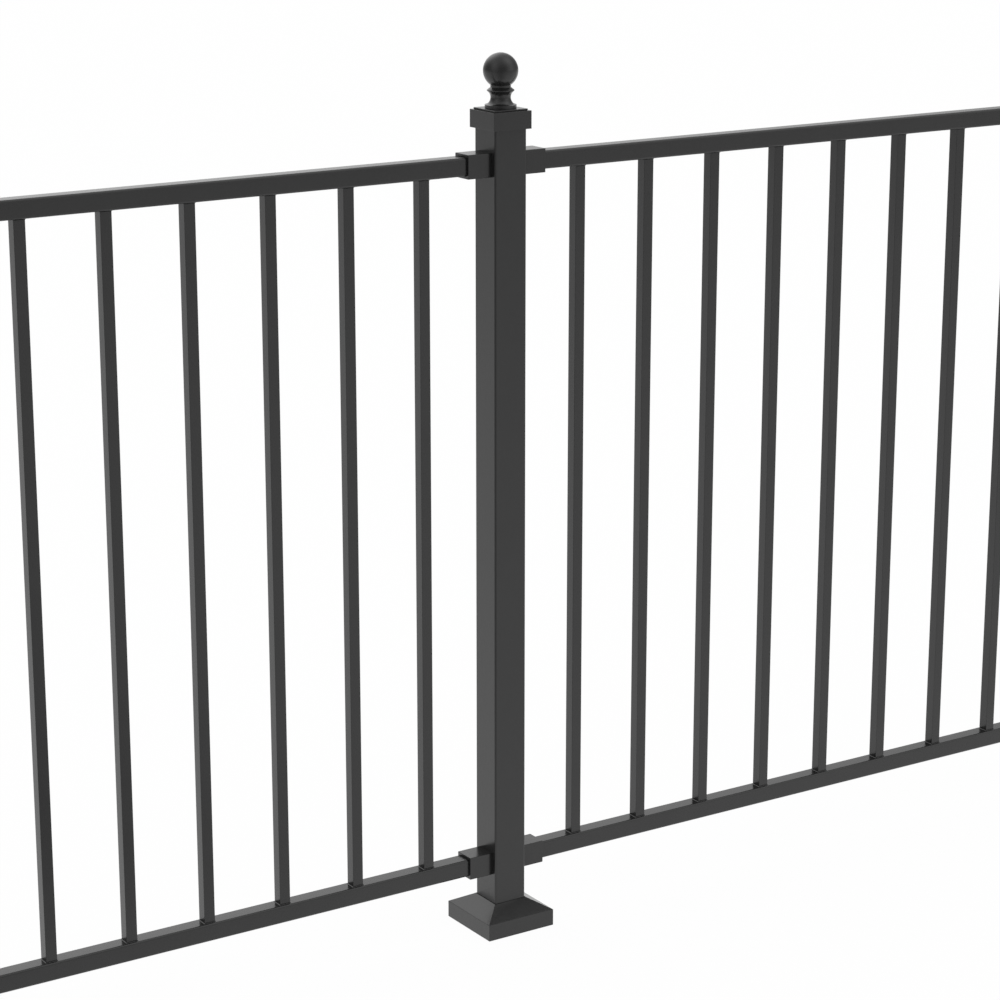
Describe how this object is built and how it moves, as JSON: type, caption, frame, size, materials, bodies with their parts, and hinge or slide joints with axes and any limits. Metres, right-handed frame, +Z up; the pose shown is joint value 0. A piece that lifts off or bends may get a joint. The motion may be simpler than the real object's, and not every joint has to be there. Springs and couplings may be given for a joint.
{
  "type": "steel railing with ball-capped posts",
  "caption": "Black powder-coated steel railing: welded panels of square balusters between square posts, with collar brackets, skirted base plates and ball caps.",
  "frame": {"origin": "centre of the underside of the middle post's base plate, on the ground", "axes": "+X along the rails to the right as seen in the picture, +Y across the railing away from the viewer, +Z up"},
  "size_m": [3.8692, 0.11, 1.2529],
  "materials": {
    "tube_coat": "satin",
    "plate_coat": "satin",
    "cover_coat": "satin",
    "casting_coat": "satin"
  },
  "bodies": {
    "root": {"left_post": "tube_coat", "left_base_plate": "plate_coat", "left_base_cover": "cover_coat", "left_ball_cap": "casting_coat", "middle_post": "tube_coat", "middle_base_plate": "plate_coat", "middle_base_cover": "cover_coat", "middle_ball_cap": "casting_coat", "right_post": "tube_coat", "right_base_plate": "plate_coat", "right_base_cover": "cover_coat", "right_ball_cap": "casting_coat", "left_panel": "tube_coat", "left_panel_top_left_bracket": "casting_coat", "left_panel_top_right_bracket": "casting_coat", "left_panel_bottom_left_bracket": "casting_coat", "left_panel_bottom_right_bracket": "casting_coat", "right_panel": "tube_coat", "right_panel_top_left_bracket": "casting_coat", "right_panel_top_right_bracket": "casting_coat", "right_panel_bottom_left_bracket": "casting_coat", "right_panel_bottom_right_bracket": "casting_coat"}
  },
  "joints": []
}
